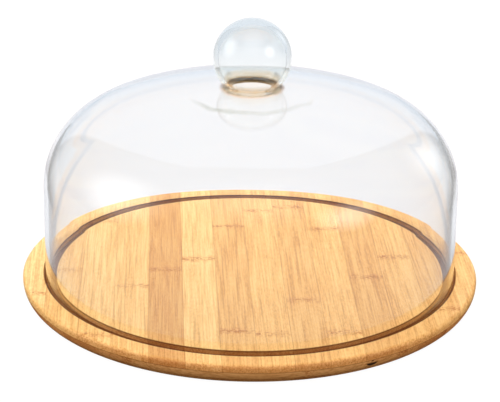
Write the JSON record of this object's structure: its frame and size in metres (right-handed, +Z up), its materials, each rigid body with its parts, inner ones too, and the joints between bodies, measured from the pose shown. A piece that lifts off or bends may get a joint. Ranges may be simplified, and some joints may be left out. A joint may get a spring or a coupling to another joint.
{
  "type": "cheese dome",
  "caption": "Clear glass dome with a hollow ball knob, standing in the ring groove of a round bamboo board.",
  "frame": {"origin": "middle of the board's underside, where it rests on the table", "axes": "+Z up along the axis of the board, dome and ball; the strips of the top ply run along Y"},
  "size_m": [0.3, 0.3, 0.1861],
  "materials": {
    "top_strip": "oiled, satin",
    "core_strip": "oiled, satin",
    "bottom_strip": "oiled, satin",
    "dome_glass": "polished, clear",
    "knob_glass": "polished, clear"
  },
  "bodies": {
    "board": {"bottom_strip_01": "bottom_strip", "bottom_strip_02": "bottom_strip", "bottom_strip_03": "bottom_strip", "bottom_strip_04": "bottom_strip", "bottom_strip_05": "bottom_strip", "bottom_strip_06": "bottom_strip", "bottom_strip_07": "bottom_strip", "bottom_strip_08": "bottom_strip", "bottom_strip_09": "bottom_strip", "bottom_strip_10": "bottom_strip", "bottom_strip_11": "bottom_strip", "bottom_strip_12": "bottom_strip", "bottom_strip_13": "bottom_strip", "bottom_strip_14": "bottom_strip", "core_strip_01": "core_strip", "core_strip_02": "core_strip", "core_strip_03": "core_strip", "core_strip_04": "core_strip", "core_strip_05": "core_strip", "core_strip_06": "core_strip", "core_strip_07": "core_strip", "core_strip_08": "core_strip", "core_strip_09": "core_strip", "core_strip_10": "core_strip", "core_strip_11": "core_strip", "core_strip_12": "core_strip", "core_strip_13": "core_strip", "core_strip_14": "core_strip", "top_strip_01": "top_strip", "top_strip_02": "top_strip", "top_strip_03": "top_strip", "top_strip_04": "top_strip", "top_strip_05": "top_strip", "top_strip_06": "top_strip", "top_strip_07": "top_strip", "top_strip_08": "top_strip", "top_strip_09": "top_strip", "top_strip_10": "top_strip", "top_strip_11": "top_strip", "top_strip_12": "top_strip", "top_strip_13": "top_strip", "top_strip_14": "top_strip"},
    "dome": {"glass_dome": "dome_glass", "ball_knob": "knob_glass"}
  },
  "joints": [
    {"name": "dome_lift", "type": "slide", "parent": "board", "child": "dome", "axis": [0, 0, 1], "range_m": [0, 0.15]}
  ]
}
